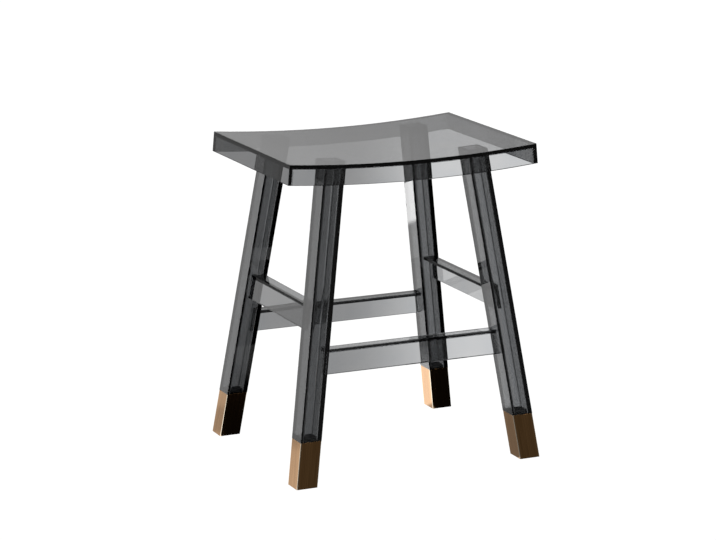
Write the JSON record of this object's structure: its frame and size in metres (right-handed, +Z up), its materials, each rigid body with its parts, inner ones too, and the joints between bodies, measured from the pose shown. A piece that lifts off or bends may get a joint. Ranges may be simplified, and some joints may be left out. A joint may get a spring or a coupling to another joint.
{
  "type": "saddle stool",
  "caption": "Counter-height saddle stool in clear smoke acrylic: dipped seat box, splayed square tube legs, L-section stretchers as foot rests and bronze metal foot caps",
  "frame": {"origin": "on the floor, under the middle of the seat", "axes": "X along the seat's length, with its dip in the middle; the front faces -Y; Z up"},
  "size_m": [0.512, 0.4264, 0.61],
  "materials": {
    "smoke_acrylic": "clear smoke grey, polished",
    "brushed_bronze": "brushed bronze gold",
    "black_nylon": "moulded black nylon",
    "black_rubber": "moulded black rubber"
  },
  "bodies": {
    "root": {"seat_top": "smoke_acrylic", "front_apron": "smoke_acrylic", "rear_apron": "smoke_acrylic", "left_apron": "smoke_acrylic", "right_apron": "smoke_acrylic", "front_left_leg": "smoke_acrylic", "front_left_foot_plug": "black_nylon", "front_left_foot_cap": "brushed_bronze", "front_left_floor_pad": "black_rubber", "front_right_leg": "smoke_acrylic", "front_right_foot_plug": "black_nylon", "front_right_foot_cap": "brushed_bronze", "front_right_floor_pad": "black_rubber", "rear_left_leg": "smoke_acrylic", "rear_left_foot_plug": "black_nylon", "rear_left_foot_cap": "brushed_bronze", "rear_left_floor_pad": "black_rubber", "rear_right_leg": "smoke_acrylic", "rear_right_foot_plug": "black_nylon", "rear_right_foot_cap": "brushed_bronze", "rear_right_floor_pad": "black_rubber", "front_rail_top": "smoke_acrylic", "front_rail_face": "smoke_acrylic", "rear_rail_top": "smoke_acrylic", "rear_rail_face": "smoke_acrylic", "left_rail_top": "smoke_acrylic", "left_rail_face": "smoke_acrylic", "right_rail_top": "smoke_acrylic", "right_rail_face": "smoke_acrylic"}
  },
  "joints": []
}
